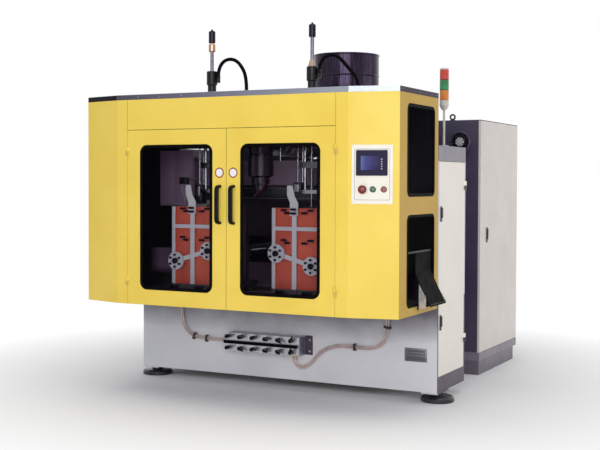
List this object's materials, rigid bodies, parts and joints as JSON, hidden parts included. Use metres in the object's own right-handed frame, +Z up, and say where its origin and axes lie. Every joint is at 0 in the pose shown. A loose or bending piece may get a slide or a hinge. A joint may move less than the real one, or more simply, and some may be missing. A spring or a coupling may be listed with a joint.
{
  "type": "blow moulding machine",
  "caption": "Double-station extrusion blow moulding machine: guard hood with glazed hinged doors, sliding mould carriages, extruder with a drum hopper and a separate electrical cabinet.",
  "frame": {"origin": "centre of the machine's box on the floor", "axes": "+X to the machine's right as seen from its front, +Y back from the hood front to the extruder, +Z up"},
  "size_m": [2.5766, 3.045, 2.588],
  "materials": {
    "base_frame": "satin grey paint",
    "right_column": "satin grey paint",
    "left_column": "satin grey paint",
    "cross_beam": "satin grey paint",
    "rear_guard": "satin grey paint",
    "levelling_pads": "matt black",
    "column_door": "satin off-white paint",
    "hood_shell": "satin yellow paint",
    "side_seals": "matt black",
    "side_pane": "clear",
    "hood_roof": "brushed",
    "left_door": "satin yellow paint",
    "left_seal": "matt black",
    "left_pane": "clear",
    "left_handle": "matt black",
    "right_door": "satin yellow paint",
    "right_seal": "matt black",
    "right_pane": "clear",
    "right_handle": "matt black",
    "chute_tray": "brushed",
    "chute_curtain": "matt black",
    "control_plate": "satin off-white paint",
    "display": "fine grained",
    "stop_button": "gloss",
    "start_button": "gloss",
    "reset_button": "gloss",
    "guide_rails": "ground and plated",
    "left_carriage": "red paint, machined faces",
    "left_front_platen": "red paint, machined faces",
    "left_rear_platen": "red paint, machined faces",
    "left_front_mould": "machined",
    "left_rear_mould": "machined",
    "left_tie_bars": "ground and plated",
    "right_carriage": "red paint, machined faces",
    "right_front_platen": "red paint, machined faces",
    "right_rear_platen": "red paint, machined faces",
    "right_front_mould": "machined",
    "right_rear_mould": "machined",
    "right_tie_bars": "ground and plated",
    "left_blow_pin": "ground and plated",
    "right_blow_pin": "ground and plated",
    "blow_frames": "satin grey paint",
    "blow_cylinders": "semi-gloss black",
    "guide_rods": "ground and plated",
    "die_head": "turned",
    "extruder_barrel": "turned",
    "extruder_screw": "turned",
    "gear_motor": "satin grey paint",
    "extruder_base": "satin grey paint",
    "drum_hopper": "gloss black",
    "cabinet_body": "satin blue-grey paint",
    "fan_wheel": "matt",
    "cabinet_door": "satin off-white paint",
    "lamp_post": "satin white",
    "lamp_lenses": "clear coloured",
    "manifold_block": "machined",
    "water_hoses": "clear hose",
    "hose_clips": "matt",
    "top_hoses": "matt black",
    "hood_hinges": "satin"
  },
  "bodies": {
    "frame": {"base_frame": "base_frame", "right_column": "right_column", "left_column": "left_column", "cross_beam": "cross_beam", "rear_guard": "rear_guard", "levelling_pads": "levelling_pads", "hood_shell": "hood_shell", "side_seals": "side_seals", "side_pane": "side_pane", "hood_roof": "hood_roof", "chute_tray": "chute_tray", "chute_curtain": "chute_curtain", "control_plate": "control_plate", "display": "display", "guide_rails": "guide_rails", "blow_frames": "blow_frames", "blow_cylinders": "blow_cylinders", "guide_rods": "guide_rods", "die_head": "die_head", "extruder_barrel": "extruder_barrel", "gear_motor": "gear_motor", "extruder_base": "extruder_base", "drum_hopper": "drum_hopper", "cabinet_body": "cabinet_body", "lamp_post": "lamp_post", "lamp_lenses": "lamp_lenses", "manifold_block": "manifold_block", "water_hoses": "water_hoses", "hose_clips": "hose_clips", "top_hoses": "top_hoses", "hood_hinges": "hood_hinges"},
    "stop_button": {"stop_button": "stop_button"},
    "start_button": {"start_button": "start_button"},
    "reset_button": {"reset_button": "reset_button"},
    "column_door": {"column_door": "column_door"},
    "cabinet_door": {"cabinet_door": "cabinet_door"},
    "fan_wheel": {"fan_wheel": "fan_wheel"},
    "extruder_screw": {"extruder_screw": "extruder_screw"},
    "left_door": {"left_door": "left_door", "left_pane": "left_pane", "left_seal": "left_seal", "left_handle": "left_handle"},
    "left_carriage": {"left_carriage": "left_carriage"},
    "left_front": {"left_front_platen": "left_front_platen", "left_tie_bars": "left_tie_bars", "left_front_mould": "left_front_mould"},
    "left_rear": {"left_rear_platen": "left_rear_platen", "left_rear_mould": "left_rear_mould"},
    "left_blow_pin": {"left_blow_pin": "left_blow_pin"},
    "right_door": {"right_door": "right_door", "right_pane": "right_pane", "right_seal": "right_seal", "right_handle": "right_handle"},
    "right_carriage": {"right_carriage": "right_carriage"},
    "right_front": {"right_front_platen": "right_front_platen", "right_tie_bars": "right_tie_bars", "right_front_mould": "right_front_mould"},
    "right_rear": {"right_rear_platen": "right_rear_platen", "right_rear_mould": "right_rear_mould"},
    "right_blow_pin": {"right_blow_pin": "right_blow_pin"}
  },
  "joints": [
    {"name": "left_door_hinge", "type": "hinge", "parent": "frame", "child": "left_door", "pos_m": [-0.81326, -1.4855, 1.263], "axis": [0, 0, -1], "range_deg": [0, 110]},
    {"name": "right_door_hinge", "type": "hinge", "parent": "frame", "child": "right_door", "pos_m": [0.78674, -1.4855, 1.263], "axis": [0, 0, 1], "range_deg": [0, 110]},
    {"name": "column_door_hinge", "type": "hinge", "parent": "frame", "child": "column_door", "pos_m": [1.19974, -0.18, 0.938], "axis": [0, 0, 1], "range_deg": [0, 110]},
    {"name": "cabinet_door_hinge", "type": "hinge", "parent": "frame", "child": "cabinet_door", "pos_m": [1.07474, 1.5145, 1.1], "axis": [0, 0, 1], "range_deg": [0, 110]},
    {"name": "stop_press", "type": "slide", "parent": "frame", "child": "stop_button", "axis": [-0.2462, 0.9692, 0], "range_m": [0, 0.005]},
    {"name": "start_press", "type": "slide", "parent": "frame", "child": "start_button", "axis": [-0.2462, 0.9692, 0], "range_m": [0, 0.004], "stiffness_N_per_m": 300, "springref_m": -0.002},
    {"name": "reset_press", "type": "slide", "parent": "frame", "child": "reset_button", "axis": [-0.2462, 0.9692, 0], "range_m": [0, 0.004], "stiffness_N_per_m": 300, "springref_m": -0.002},
    {"name": "left_carriage_slide", "type": "slide", "parent": "frame", "child": "left_carriage", "axis": [1, 0, 0], "range_m": [0, 0.4]},
    {"name": "left_mould_opening", "type": "slide", "parent": "left_carriage", "child": "left_front", "axis": [0, -1, 0], "range_m": [0, 0.09]},
    {"name": "left_rear_opening", "type": "slide", "parent": "left_carriage", "child": "left_rear", "axis": [0, 1, 0], "range_m": [0, 0.09]},
    {"name": "right_carriage_slide", "type": "slide", "parent": "frame", "child": "right_carriage", "axis": [1, 0, 0], "range_m": [-0.4, 0]},
    {"name": "right_mould_opening", "type": "slide", "parent": "right_carriage", "child": "right_front", "axis": [0, -1, 0], "range_m": [0, 0.09]},
    {"name": "right_rear_opening", "type": "slide", "parent": "right_carriage", "child": "right_rear", "axis": [0, 1, 0], "range_m": [0, 0.09]},
    {"name": "left_pin_stroke", "type": "slide", "parent": "frame", "child": "left_blow_pin", "axis": [0, 0, -1], "range_m": [0, 0.135]},
    {"name": "right_pin_stroke", "type": "slide", "parent": "frame", "child": "right_blow_pin", "axis": [0, 0, -1], "range_m": [0, 0.135]},
    {"name": "fan_spin", "type": "hinge", "parent": "frame", "child": "fan_wheel", "pos_m": [0.92774, 0.4935, 1.82], "axis": [0, 1, 0], "continuous": true},
    {"name": "screw_spin", "type": "hinge", "parent": "frame", "child": "extruder_screw", "pos_m": [-0.01326, -0.1775, 1.78], "axis": [0, 1, 0], "continuous": true}
  ],
  "couplings": [
    {"joint": "left_rear_opening", "follows": "left_mould_opening", "ratio": 1},
    {"joint": "right_rear_opening", "follows": "right_mould_opening", "ratio": 1}
  ]
}
